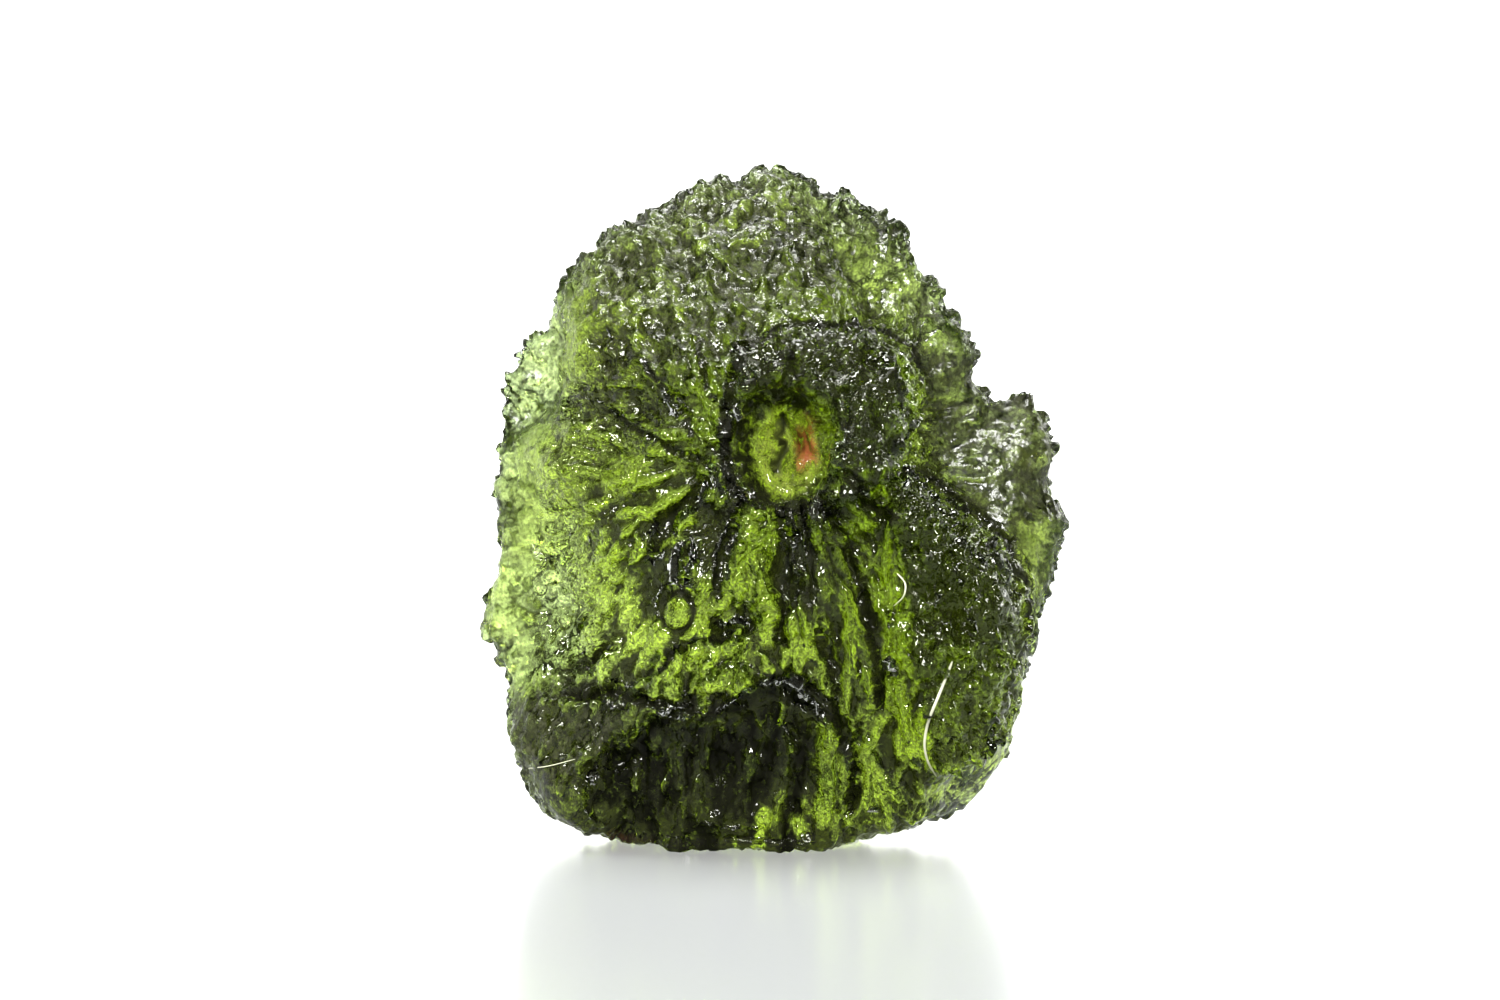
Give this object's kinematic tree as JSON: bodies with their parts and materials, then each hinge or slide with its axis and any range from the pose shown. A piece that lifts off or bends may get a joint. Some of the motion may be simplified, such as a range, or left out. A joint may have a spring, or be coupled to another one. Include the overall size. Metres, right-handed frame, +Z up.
{
  "type": "moldavite",
  "caption": "Natural green glass stone with deeply etched, grooved skin, a ring-shaped pit and a thin translucent flange; stands free on a small flat spot.",
  "frame": {"origin": "middle of the underside of the stone's box, on the surface that it rests on", "axes": "+Z up along the height of the stone, -Y out of the pitted front towards the viewer, +X to the viewer's right"},
  "size_m": [0.019, 0.0102, 0.022],
  "materials": {
    "green_glass": "etched, glossy to satin, see-through where thin",
    "lint": "pale dust fibres lying on the stone"
  },
  "bodies": {
    "root": {"moldavite": "green_glass"}
  },
  "joints": []
}
